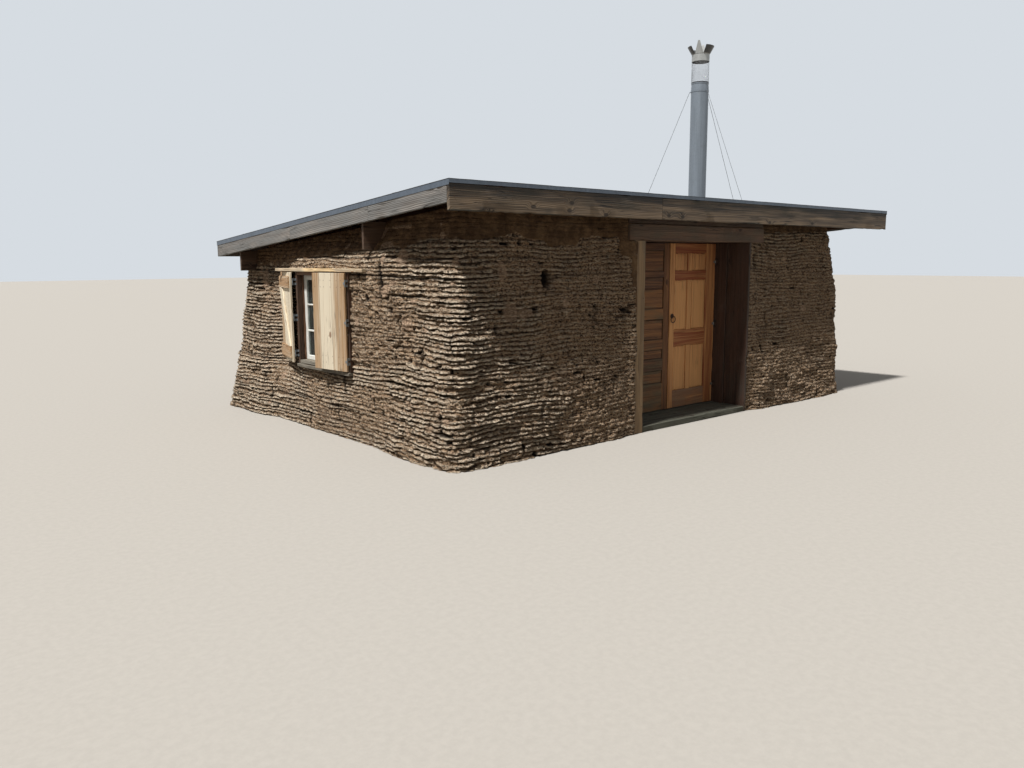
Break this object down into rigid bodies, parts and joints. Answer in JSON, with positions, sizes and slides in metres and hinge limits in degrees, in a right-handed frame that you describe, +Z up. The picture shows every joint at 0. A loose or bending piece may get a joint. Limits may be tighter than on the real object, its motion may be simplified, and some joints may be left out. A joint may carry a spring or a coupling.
{
  "type": "turf house",
  "caption": "Low sod-walled house with a sloping plank roof, recessed double doors, shuttered window and guyed metal chimney; doors and shutters swing.",
  "frame": {"origin": "on the ground, under the middle of the roof's plan", "axes": "+Z up, the door side towards -Y, the window side towards -X"},
  "size_m": [8.1239, 5.184, 4.945],
  "materials": {
    "sod": "dry ribbed turf with fibres, fully matt",
    "floor_plank": "worn bare plank",
    "weathered_board": "grey weathered rough-sawn board",
    "dark_timber": "dark weathered timber",
    "roof_plank": "reddish brown rough plank",
    "brown_door": "worn brown stained door",
    "honey_door": "worn honey stained pine door",
    "pine_board": "bare pale pine, slightly weathered",
    "sash_paint": "old white paint on wood",
    "window_pane": "plain window glass",
    "roofing_felt": "mineral-surfaced bitumen felt",
    "galvanised": "dull galvanised sheet",
    "stay_steel": "dull zinc-plated steel",
    "dark_iron": "dark weathered iron"
  },
  "bodies": {
    "house": {"front_wall_left": "sod", "front_wall_right": "sod", "front_wall_over_door": "sod", "left_wall_front": "sod", "left_wall_rear": "sod", "left_wall_under_window": "sod", "left_wall_over_window": "sod", "right_wall": "sod", "back_wall": "sod", "floor_boards": "floor_plank", "door_sill": "weathered_board", "door_lintel": "weathered_board", "door_casing_left": "weathered_board", "window_sill": "weathered_board", "fascia_front_left": "weathered_board", "fascia_front_right": "weathered_board", "fascia_left": "weathered_board", "fascia_right": "weathered_board", "fascia_back": "weathered_board", "door_lining_left": "dark_timber", "door_lining_right": "dark_timber", "door_jamb_left": "dark_timber", "door_head": "dark_timber", "window_frame": "dark_timber", "beam_mid": "dark_timber", "beam_rear": "dark_timber", "rafters": "roof_plank", "roof_deck": "roof_plank", "window_drip_board": "pine_board", "window_sash": "sash_paint", "window_glass": "window_pane", "roof_covering": "roofing_felt", "roof_edge_trim": "galvanised", "chimney_pipe": "galvanised", "chimney_flashing": "galvanised", "spark_screen": "galvanised", "chimney_cap": "galvanised", "guy_band": "stay_steel", "guy_stays": "stay_steel", "window_hinge_plates": "stay_steel", "door_hinge_plates": "dark_iron"},
    "left_door": {"door_leaf_left": "brown_door", "door_hinges_left": "dark_iron"},
    "right_door": {"door_leaf_right": "honey_door", "door_hinges_right": "dark_iron", "door_ring_pull": "dark_iron"},
    "near_shutter": {"shutter_near": "pine_board", "shutter_hinges_near": "stay_steel"},
    "far_shutter": {"shutter_far": "pine_board", "shutter_hinges_far": "stay_steel"}
  },
  "joints": [
    {"name": "left_door_hinge", "type": "hinge", "parent": "house", "child": "left_door", "pos_m": [-1.181, -1.996, 1.095], "axis": [0, 0, -1], "range_deg": [0, 100]},
    {"name": "right_door_hinge", "type": "hinge", "parent": "house", "child": "right_door", "pos_m": [0.641, -1.996, 1.095], "axis": [0, 0, 1], "range_deg": [0, 90]},
    {"name": "near_shutter_hinge", "type": "hinge", "parent": "house", "child": "near_shutter", "pos_m": [-4.015, -0.72, 1.272], "axis": [0, 0, 1], "range_deg": [-7, 168]},
    {"name": "far_shutter_hinge", "type": "hinge", "parent": "house", "child": "far_shutter", "pos_m": [-4.015, 0.47, 1.272], "axis": [0, 0, 1], "range_deg": [0, 195]}
  ]
}
